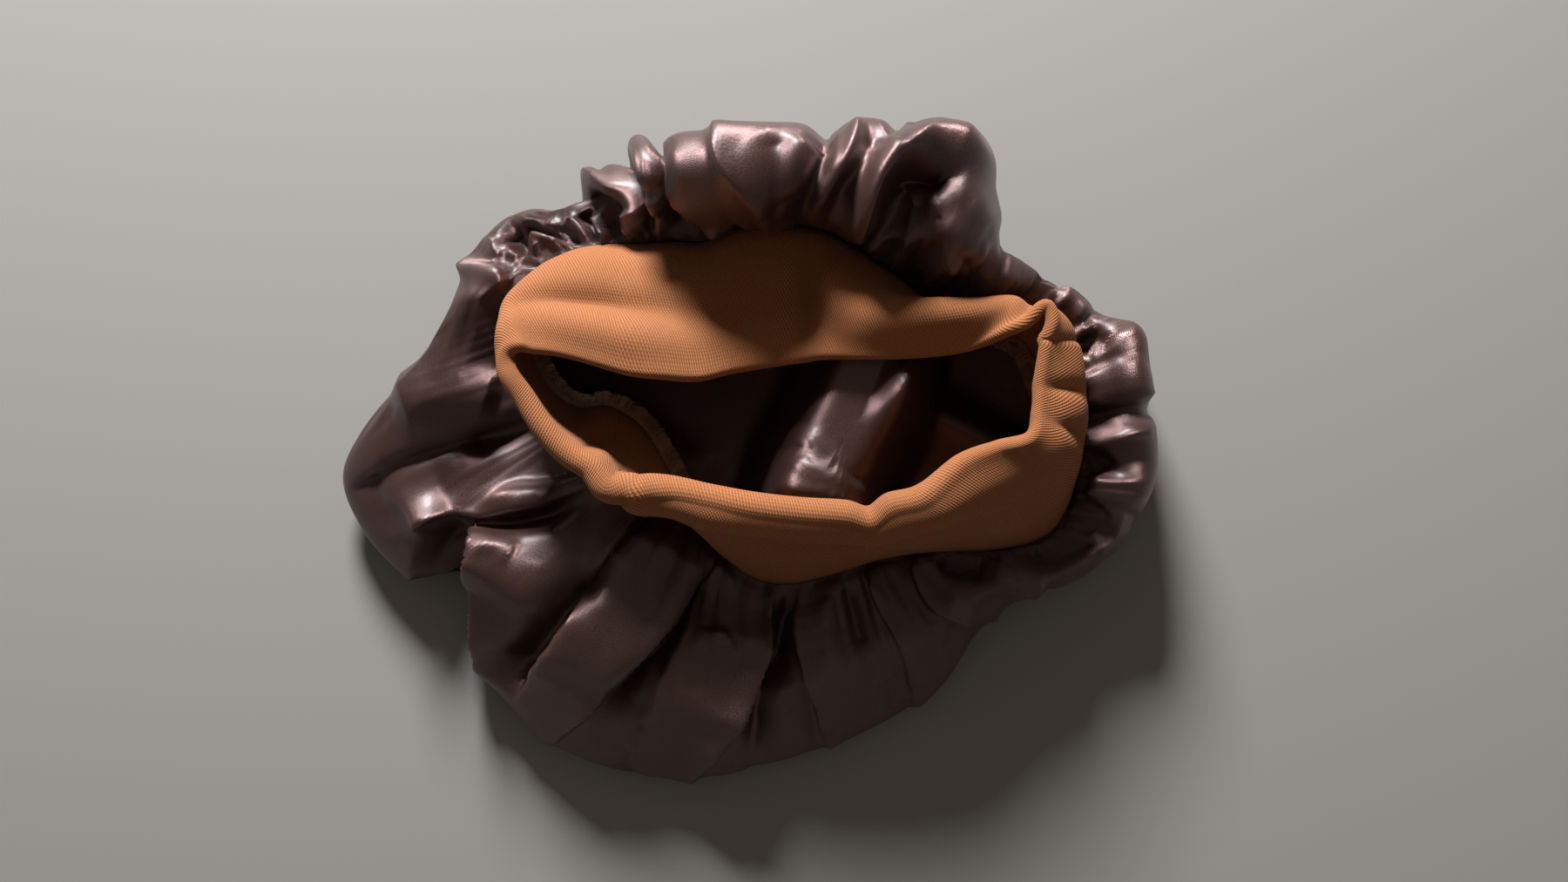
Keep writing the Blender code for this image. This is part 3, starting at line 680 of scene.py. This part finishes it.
fade = np.clip(fine_shares * SEAM_FADE, 0, 1) * np.clip((FOOT_END - fine_shares) * FOOT_FADE, 0, 1)
lift = fold_lift(smooth_bag.reshape(-1, 3), SIDE_FOLDS).reshape(bag.shape) * fade[:, None, None]
bag = bag + normals(smooth_bag) * lift[:, :, 2:3]
bag[:, :, :2] += lift[:, :, :2]
inner = np.clip((fine_shares - FLOOR_FROM) / FLOOR_OVER, 0, 1)[:, None]
rise = fold_lift(smooth_bag.reshape(-1, 3), [(FOOT_HEIGHT, FLOOR_FOLDS)])[:, 2].reshape(bag.shape[:2])
bag[:, :, 2] = np.maximum(bag[:, :, 2] + rise * inner, TABLE_GAP)
print("lift range, mm:", round(lift[:, :, 2].min(), 1), round(lift[:, :, 2].max(), 1))

# %% [markdown]
# ## From grid to mesh
# Each grid becomes one mesh of quads, with a UV map in metres that runs along the threads, because
# weave and ribs have to follow the folds. On the floor of the bag the threads run along x and y.

# %% Bag mesh
MEASURED_ROW = 5  # the length round the mouth is taken a fifth of the way down the grid
LAST_STEP = 0.003


def cloth_object(name, points, faces):
    """A smooth shaded piece from points in table millimetres."""
    mesh = bpy.data.meshes.new(name)
    mesh.from_pydata(placed(points).tolist(), [], faces)
    mesh.polygons.foreach_set("use_smooth", [True] * len(mesh.polygons))
    made = linked(name, mesh)
    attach(made, "root")
    return made


def grid_object(name, grid, closed_down=False, cap=None):
    """A piece from a grid that is closed round the mouth, with a last point that closes its middle."""
    depth, count = grid.shape[:2]
    points = grid.reshape(-1, 3)
    faces = grid_faces(depth, count, closed_down)
    if cap is not None:
        last = (depth - 1) * count
        points = np.concatenate([points, [cap]])
        faces += [(last + i, last + (i + 1) % count, depth * count) for i in range(count)]
    return cloth_object(name, points, faces)


def read_numbers(items, name):
    """One whole number from each loop or polygon of a mesh."""
    values = np.zeros(len(items), int)
    items.foreach_get(name, values)
    return values


def write_threads(mesh, u, v):
    """The UV map that every weave, rib and twist reads."""
    layer = mesh.uv_layers.new(name="threads")
    layer.data.foreach_set("uv", np.stack([u, v], 1).astype(np.float32).ravel())


def thread_lengths(grid):
    """Metres round the grid at each column, and metres down it at each point and one row past it."""
    measured = grid[len(grid) // MEASURED_ROW]
    step = np.linalg.norm(np.roll(measured, -1, 0) - measured, axis=1)
    around = np.concatenate([[0.0], np.cumsum(step)]) * MM
    fall = np.linalg.norm(np.diff(grid, axis=0), axis=2)
    down = np.concatenate([np.zeros((1, grid.shape[1])), np.cumsum(fall, axis=0)]) * MM
    down = np.repeat(down.mean(axis=1, keepdims=True), grid.shape[1], axis=1)
    return around, np.concatenate([down, down[-1:] + LAST_STEP])


def lay_threads(made, grid, floor_row=None):
    """Writes the UV map: metres round the mouth and down from the seam, or x and y on the floor."""
    depth, count = grid.shape[:2]
    around, down = thread_lengths(grid)
    mesh = made.data
    loops = read_numbers(mesh.loops, "vertex_index")
    starts = read_numbers(mesh.polygons, "loop_start")
    totals = read_numbers(mesh.polygons, "loop_total")
    row, column = loops // count, loops % count
    face_of = np.repeat(np.arange(len(starts)), totals)
    first_column = column[starts][face_of]
    wrapped = (first_column == count - 1) & (column == 0)
    u = around[np.where(wrapped, count, column)]
    v = down[np.minimum(row, depth), np.where(row < depth, column, first_column)]
    if floor_row is not None:
        flat = np.concatenate([grid.reshape(-1, 3), grid[-1].mean(axis=0, keepdims=True)]) * MM
        u = np.where(row >= floor_row, flat[loops, 0], u)
        v = np.where(row >= floor_row, flat[loops, 1], v)
    write_threads(mesh, u, v)


satin_bag = grid_object("satin_bag", bag, cap=bag[-1].mean(axis=0))
lay_threads(satin_bag, bag, floor_row=int(np.searchsorted(fine_shares, 1.0)))
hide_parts("satin_crown")
print("bag faces:", len(satin_bag.data.polygons))

# %% [markdown]
# ## The band
# The band is a strip of rib knit folded double, so it is a soft wall with a round fold at the rim. Its
# grid goes up the inner face, over the rim and down the outer face, and closes underneath. Dents and
# swells are given by their station and by how far up they lie, because a band bends across its ribs.

# %% Band wall and its dents
BAND_STATIONS = 640
FACE_ROWS = 26
WALL_START = 0.012  # share of the way up at which the wall begins, just over the seam
# name | station (row number) | share of the way up | height | spread in rows | spread in share
BAND_DENTS = [
    ("far hollow", 6.6, 0.45, -3.0, 1.6, 0.35),
    ("shadow line", 2.6, 0.58, -6.0, 2.6, 0.12),
    ("swell under it", 3.2, 0.80, 3.0, 2.4, 0.14),
    ("lit strip by the seam", 3.0, 0.22, 2.0, 2.4, 0.14),
    ("swirl valley", 8.7, 0.52, -4.5, 0.38, 0.40),
    ("swirl ridge", 9.4, 0.45, 4.5, 0.40, 0.24),
    ("roll", 12.2, 0.52, 3.0, 1.9, 0.20),
    ("under the roll", 12.2, 0.20, -3.5, 1.9, 0.14),
    ("corner slit", 14.4, 0.75, -3.0, 0.28, 0.30),
    ("right ripple", 14.9, 0.50, -3.0, 0.30, 0.30),
    ("lap end", 15.6, 0.80, 1.6, 0.30, 0.50),
    ("lap line", 16.0, 0.70, -1.8, 0.09, 0.60),
    ("right dent a", 17.2, 0.72, -3.2, 0.24, 0.20),
    ("right dent b", 18.3, 0.62, -3.0, 0.24, 0.20),
    ("near dent", 20.2, 0.35, -1.6, 0.35, 0.14),
    ("near roll", 24.5, 0.80, 1.8, 4.5, 0.16),
    ("near crease", 24.8, 0.46, -2.4, 4.0, 0.10),
    ("pinch", 29.9, 0.84, 1.2, 0.26, 0.30),
    ("left of the pinch", 30.5, 0.66, -1.0, 0.34, 0.16),
    ("scallop a", 31.2, 0.76, 1.2, 0.24, 0.20),
    ("scallop b", 31.9, 0.76, -1.2, 0.24, 0.20),
    ("scallop c", 32.5, 0.76, 1.0, 0.24, 0.20),
    ("left roll", 34.0, 0.80, 1.2, 2.5, 0.18),
]


def band_spine(at, shares_up):
    """Middle surface of the band from just over the seam to the rim, with its dents."""
    line = [closed_curve(BAND_SECTIONS[:, part], at) for part in (SEAM, BELLY, RIM)]
    spine = np.array([through(line, WALL_START + (1 - WALL_START) * share) for share in shares_up])
    side = -normals(spine)
    count = len(BAND_SECTIONS)
    for _name, place, up, height, spread, tall in BAND_DENTS:
        away = (at - place + count / 2) % count - count / 2
        swell = np.exp(-(away / spread) ** 2)[None, :]
        rise = np.exp(-((shares_up - up) / tall) ** 2)[:, None]
        spine = spine + side * (height * swell * rise)[:, :, None]
    return spine


band_at = even_stations(BAND_STATIONS)
shares_up = np.linspace(0, 1, FACE_ROWS)
spine = band_spine(band_at, shares_up)
print("band wall grid:", spine.shape)

# %% Two faces and the folded rim
RIM_ROWS = 9
RIM_FLAT = 0.9  # the fold is a little lower than it is wide
BAND_HALF = 1.6
# row number of the station | half the thickness of the folded rim, which is puffed up on the near side
RIM_ROLL = ((0, 10, 15, 20, 22, 28, 30, 32, 36, 39), (2.4, 2.6, 2.6, 3.4, 6.0, 6.2, 6.4, 4.9, 4.0, 2.4))
PUFF_FROM, PUFF_OVER, PUFF_ROUND = 0.52, 0.25, 0.8
THIN_AT_SEAM, THICK_BY = 0.35, 12  # the wall is full a twelfth of the way up

side = -normals(spine)
up = unit(np.gradient(spine, axis=0))
rim_half = np.interp(band_at, *RIM_ROLL)
puff = np.clip((shares_up - PUFF_FROM) / PUFF_OVER, 0, 1)[:, None] ** PUFF_ROUND
thin = np.clip(shares_up * THICK_BY, THIN_AT_SEAM, 1)[:, None]
half = ((BAND_HALF + (rim_half - BAND_HALF) * puff) * thin)[:, :, None]
outer_face = spine + side * half
inner_face = spine - side * half
rim_rows = []
for turn in np.linspace(0, np.pi, RIM_ROWS + 2)[1:-1]:
    outward = side[-1] * math.cos(turn) + up[-1] * math.sin(turn) * RIM_FLAT
    rim_rows.append(spine[-1] + outward * rim_half[:, None])
band = np.concatenate([outer_face, np.array(rim_rows), inner_face[::-1]])[::-1]
knit_cuff = grid_object("knit_cuff", band, closed_down=True)
lay_threads(knit_cuff, band)
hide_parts("knit_band")
print("band faces:", len(knit_cuff.data.polygons))

# %% [markdown]
# ## The overlocked edge
# Inside the mouth the raw edges of satin and knit are overlocked together into one soft tape, which
# points inwards and down. The tape is a flat tube, and over it lie hundreds of loops of thread, so each
# has only a few faces.

# %% Overlocked tape
TAPE_STATIONS, TAPE_SIDES = 480, 12
TAPE_DEPTH = 7.5
TAPE_HALF = 0.8
TAPE_DROP = 0.65  # how much it leans down for each step into the mouth
TAPE_INTO, TAPE_DOWN = -0.2, -1.3  # where its root lies, from the seam
TAPE_WAVE, WAVE_ROUND = 1.3, 9.0  # its free edge waves: height, and radians for each station
UNEVEN, UNEVEN_ROUND = 2, 2.3


def tape_frame(at):
    """Root line, lean direction and thickness direction of the overlocked edge."""
    seam = closed_curve(BAND_SECTIONS[:, SEAM], at)
    into = inward(seam)
    lean = unit(into + np.array([0, 0, -TAPE_DROP]))
    thick = unit(np.cross(lean, np.cross(into, [0, 0, 1.0])))
    return seam + into * TAPE_INTO + np.array([0, 0, TAPE_DOWN]), lean, thick


tape_at = even_stations(TAPE_STATIONS)
root, lean, thick = tape_frame(tape_at)
wave = TAPE_WAVE * np.sin(tape_at * WAVE_ROUND + np.sin(tape_at * UNEVEN_ROUND) * UNEVEN)[:, None]
ring = []
for turn in np.linspace(0, 2 * np.pi, TAPE_SIDES, endpoint=False):
    reach = TAPE_DEPTH * (0.5 - 0.5 * math.cos(turn))
    ring.append(root + lean * reach + thick * (TAPE_HALF * math.sin(turn) + wave * reach / TAPE_DEPTH))
tape = np.array(ring)[::-1]
overlock_tape = grid_object("overlock_tape", tape, closed_down=True)
lay_threads(overlock_tape, tape)
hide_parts("overlock_seam")
print("tape faces:", len(overlock_tape.data.polygons))

# %% Loops of thread
LOOPS = 1100
LOOP_POINTS = 9
LOOP_TURN = 2.2  # radians of its arc to both sides of its tip
LOOP_SHIFT = 0.03  # stations by which it strays from even spacing
LOOP_BACK = 3.0  # its middle, behind the tape's free edge
LONG, WIDE, SLANT = (2.6, 4.0), (1.1, 1.7), (-1.3, 1.3)
THREAD_HALF = 0.20
ASKEW = np.array([0.31, 0.17, 0.93])  # no loop runs along this direction
UV_SIDE, UV_STEP, UV_LOOP = 0.0004, 0.0015, 0.01


def thread_tubes(name, paths, half):
    """Round threads along many short paths of equal length, four sides each, as one mesh."""
    count, points = paths.shape[:2]
    forward = unit(np.gradient(paths, axis=1))
    aside = unit(np.cross(forward, ASKEW))
    above = np.cross(aside, forward)
    rings = np.stack([paths + half * d for d in (aside, above, -aside, -above)], axis=2)
    number = np.arange(count * points * 4).reshape(count, points, 4)
    turned = np.roll(number, -1, 2)
    walls = np.stack([number[:, :-1], turned[:, :-1], turned[:, 1:], number[:, 1:]], axis=3)
    ends = np.concatenate([number[:, 0, ::-1], number[:, -1]])
    made = cloth_object(name, rings.reshape(-1, 3), walls.reshape(-1, 4).tolist() + ends.tolist())
    corner = read_numbers(made.data.loops, "vertex_index")
    v = corner // 4 % points * UV_STEP + corner // (4 * points) * UV_LOOP
    write_threads(made.data, corner % 4 * UV_SIDE, v)
    return made


dice = np.random.default_rng(11)
loop_at = np.sort(even_stations(LOOPS) + dice.uniform(-LOOP_SHIFT, LOOP_SHIFT, LOOPS))
loop_root, loop_lean, loop_thick = tape_frame(loop_at)
loop_along = np.cross(loop_lean, loop_thick)
loop_turn = np.linspace(-LOOP_TURN, LOOP_TURN, LOOP_POINTS)[None, :, None]
long, wide, slant = (dice.uniform(low, high, (LOOPS, 1, 1)) for low, high in (LONG, WIDE, SLANT))
out_of_root = TAPE_DEPTH - LOOP_BACK + long * np.cos(loop_turn)
paths = (loop_root[:, None] + loop_lean[:, None] * out_of_root
         + loop_thick[:, None] * wide * np.sin(loop_turn)
         + loop_along[:, None] * slant * np.sin(loop_turn))
overlock_loops = thread_tubes("overlock_loops", paths, THREAD_HALF)
print("loop faces:", len(overlock_loops.data.polygons))

# %% [markdown]
# ## Finishes
# Each cloth has one material, built from nodes. Satin is dark dyed thread with a pinkish gleam, and a
# very fine weave that breaks the gleam into grain. Knit is matt, and its ribs and stitches are bump,
# with painted shade: its base colour is darker in the grooves between them.
# All of them read the UV map, so a pitch below is a length on the cloth, in metres.

# %% Node helpers


def wire(tree, kind, operation=None, **values):
    """Adds a node; values are its inputs by position (in0, in1 ...), as numbers or sockets to link."""
    node = tree.nodes.new(kind)
    if operation:
        node.operation = operation
    for key, value in values.items():
        socket = node.inputs[int(key[2:])]
        if isinstance(value, bpy.types.NodeSocket):
            tree.links.new(value, socket)
        else:
            socket.default_value = value
    return node


def maths(tree, operation, *terms):
    """One Math node, given back as its output."""
    inputs = {"in%d" % place: term for place, term in enumerate(terms)}
    return wire(tree, "ShaderNodeMath", operation, **inputs).outputs[0]


def new_group(name, inputs, outputs):
    """An empty node group with number inputs and outputs."""
    tree = bpy.data.node_groups.new(name, "ShaderNodeTree")
    for label in inputs:
        tree.interface.new_socket(label, in_out="INPUT", socket_type="NodeSocketFloat")
    for label in outputs:
        tree.interface.new_socket(label, in_out="OUTPUT", socket_type="NodeSocketFloat")
    return tree, tree.nodes.new("NodeGroupInput").outputs, tree.nodes.new("NodeGroupOutput").inputs


def cloth_material(name, finish):
    """A material with its Principled sockets set, and the thread coordinates u and v in metres."""
    made = bpy.data.materials.new(name)
    made.use_nodes = True
    tree = made.node_tree
    shader = tree.nodes["Principled BSDF"]
    dial(shader, finish)
    threads = tree.nodes.new("ShaderNodeUVMap")
    threads.uv_map = "threads"
    split = tree.nodes.new("ShaderNodeSeparateXYZ")
    tree.links.new(threads.outputs["UV"], split.inputs[0])
    return made, tree, shader, split.outputs[0], split.outputs[1]


def bumped(tree, shader, height, distance, strength):
    """Feeds a height to the shader's normal through one Bump node."""
    bump = tree.nodes.new("ShaderNodeBump")
    dial(bump, {"Distance": distance, "Strength": strength})
    tree.links.new(height, bump.inputs["Height"])
    tree.links.new(bump.outputs["Normal"], shader.inputs["Normal"])


def coloured(tree, shader, share, dark, light):
    """Base colour between a dark and a light tone, by a share that changes over the cloth."""
    mix = tree.nodes.new("ShaderNodeMix")
    mix.data_type = "RGBA"
    tree.links.new(share, mix.inputs["Factor"])
    dial(mix, {"A": (*dark, 1), "B": (*light, 1)})
    tree.links.new(mix.outputs["Result"], shader.inputs["Base Color"])


# %% Slub, shared by both cloths
slub_group, given, out = new_group("slub", ("U", "V", "Length", "Width"), ("Share",))
across = maths(slub_group, "DIVIDE", given["U"], given["Length"])
down = maths(slub_group, "DIVIDE", given["V"], given["Width"])
place = wire(slub_group, "ShaderNodeCombineXYZ", in0=across, in1=down).outputs[0]
noise = wire(slub_group, "ShaderNodeTexNoise", in0=place)
dial(noise, {"Scale": 1.0, "Detail": 2.0})
slub_group.links.new(noise.outputs["Fac"], out["Share"])


def slub(tree, u, v, length, width):
    """Uneven thread: noise drawn out to a length and a width in metres."""
    node = tree.nodes.new("ShaderNodeGroup")
    node.node_tree = slub_group
    tree.links.new(u, node.inputs["U"])
    tree.links.new(v, node.inputs["V"])
    dial(node, {"Length": length, "Width": width})
    return node.outputs["Share"]


# %% Satin
SATIN_DARK, SATIN_LIGHT = (0.012, 0.0048, 0.0032), (0.034, 0.0140, 0.0095)
SATIN_FINISH = {
    "Base Color": (*SATIN_DARK, 1), "Roughness": 0.44,
    "IOR": 1.6, "Specular IOR Level": 0.80, "Specular Tint": (1.0, 0.69, 0.68, 1),
    "Coat Roughness": 0.40, "Coat Tint": (1.0, 0.88, 0.89, 1),
    "Sheen Weight": 0.03, "Sheen Roughness": 0.35, "Sheen Tint": (1.0, 0.80, 0.78, 1),
}
SATIN_THREAD = 0.00042
GRAIN, CRINKLE = (0.0007, 0.0004), (0.005, 0.024)  # length and width, in metres
CRINKLE_SHARE, TWILL_SHARE = 0.8, 0.3
SATIN_RELIEF, RELIEF_STRENGTH = 0.00016, 0.8
ROUGH_SPAN, ROUGH_LEAST = 0.30, 0.22
GLEAM_SPAN, GLEAM_LEAST = 1.8, -0.35

satin, tree, shader, u, v = cloth_material("satin", SATIN_FINISH)
grain = slub(tree, u, v, *GRAIN)
coloured(tree, shader, grain, SATIN_DARK, SATIN_LIGHT)
diagonal = maths(tree, "ADD", u, v)
twill = maths(tree, "SINE", maths(tree, "MULTIPLY", diagonal, 2 * math.pi / SATIN_THREAD))
fine_height = maths(tree, "MULTIPLY_ADD", twill, TWILL_SHARE, grain)
satin_height = maths(tree, "MULTIPLY_ADD", slub(tree, u, v, *CRINKLE), CRINKLE_SHARE, fine_height)
bumped(tree, shader, satin_height, SATIN_RELIEF, RELIEF_STRENGTH)
rough = maths(tree, "MULTIPLY_ADD", grain, ROUGH_SPAN, ROUGH_LEAST)
tree.links.new(rough, shader.inputs["Roughness"])
gleam = maths(tree, "MULTIPLY_ADD", grain, GLEAM_SPAN, GLEAM_LEAST)
tree.links.new(gleam, shader.inputs["Coat Weight"])
satin_bag.data.materials.append(satin)
print("satin nodes:", len(tree.nodes))

# %% Rib knit
# the dark tone is painted shade in the grooves between ribs and stitches, and also the darker fuzz of
# the yarn
KNIT_DARK_YARN_AND_GROOVE_SHADE, KNIT_LIGHT = (0.075, 0.020, 0.005), (0.37, 0.130, 0.037)
KNIT_FINISH = {
    "Base Color": (*KNIT_LIGHT, 1), "Roughness": 0.88,
    "Sheen Weight": 0.05, "Sheen Roughness": 0.5, "Sheen Tint": (1.0, 0.86, 0.72, 1),
}
WALE, COURSE = 0.0011, 0.0010
BIAS = 0.45  # the ribs lean, as the band is pulled round
STITCH_SHARE, RIB_SHARE = 0.22, 0.7
FUZZ = (0.0016, 0.0007)
GROOVE_SHADE_SHARE, FUZZ_TONE = 0.75, 0.35
KNIT_RELIEF = 0.00040

rib_knit, tree, shader, u, v = cloth_material("rib_knit", KNIT_FINISH)
wale = maths(tree, "DIVIDE", maths(tree, "MULTIPLY_ADD", v, BIAS, u), WALE)
leg = maths(tree, "ABSOLUTE", maths(tree, "SUBTRACT", maths(tree, "FRACT", wale), 0.5))
rib = maths(tree, "ABSOLUTE", maths(tree, "SINE", maths(tree, "MULTIPLY", wale, math.pi)))
course = maths(tree, "ADD", maths(tree, "DIVIDE", v, COURSE), leg)
rows = maths(tree, "SINE", maths(tree, "MULTIPLY", course, 2 * math.pi))
stitch = maths(tree, "MULTIPLY_ADD", rows, 0.5, 0.5)
knit_height = maths(tree, "MULTIPLY_ADD", stitch, STITCH_SHARE, maths(tree, "MULTIPLY", rib, RIB_SHARE))
fuzz = maths(tree, "MULTIPLY", slub(tree, u, v, *FUZZ), FUZZ_TONE)
# painted shade: the base colour goes darker where the rib and stitch height is low, in the grooves; the
# fuzz adds random tone on top
groove_shade_and_fuzz = maths(tree, "MULTIPLY_ADD", knit_height, GROOVE_SHADE_SHARE, fuzz)
coloured(tree, shader, groove_shade_and_fuzz, KNIT_DARK_YARN_AND_GROOVE_SHADE, KNIT_LIGHT)
bumped(tree, shader, knit_height, KNIT_RELIEF, RELIEF_STRENGTH)
knit_cuff.data.materials.append(rib_knit)
print("knit nodes:", len(tree.nodes))

# %% Overlock thread
THREAD_DARK, THREAD_LIGHT = (0.080, 0.038, 0.018), (0.340, 0.175, 0.085)
TWIST = (0.0006, 0.0030)
THREAD_RELIEF = 0.0004
THREAD_FINISH = {"Base Color": (0.12, 0.058, 0.028, 1), "Roughness": 0.92, "Sheen Weight": 0.3}

overlock, tree, shader, u, v = cloth_material("overlock_thread", THREAD_FINISH)
twist = slub(tree, u, v, *TWIST)
coloured(tree, shader, twist, THREAD_DARK, THREAD_LIGHT)
bumped(tree, shader, twist, THREAD_RELIEF, RELIEF_STRENGTH)
for piece in (overlock_tape, overlock_loops):
    piece.data.materials.append(overlock)
print("thread nodes:", len(tree.nodes))
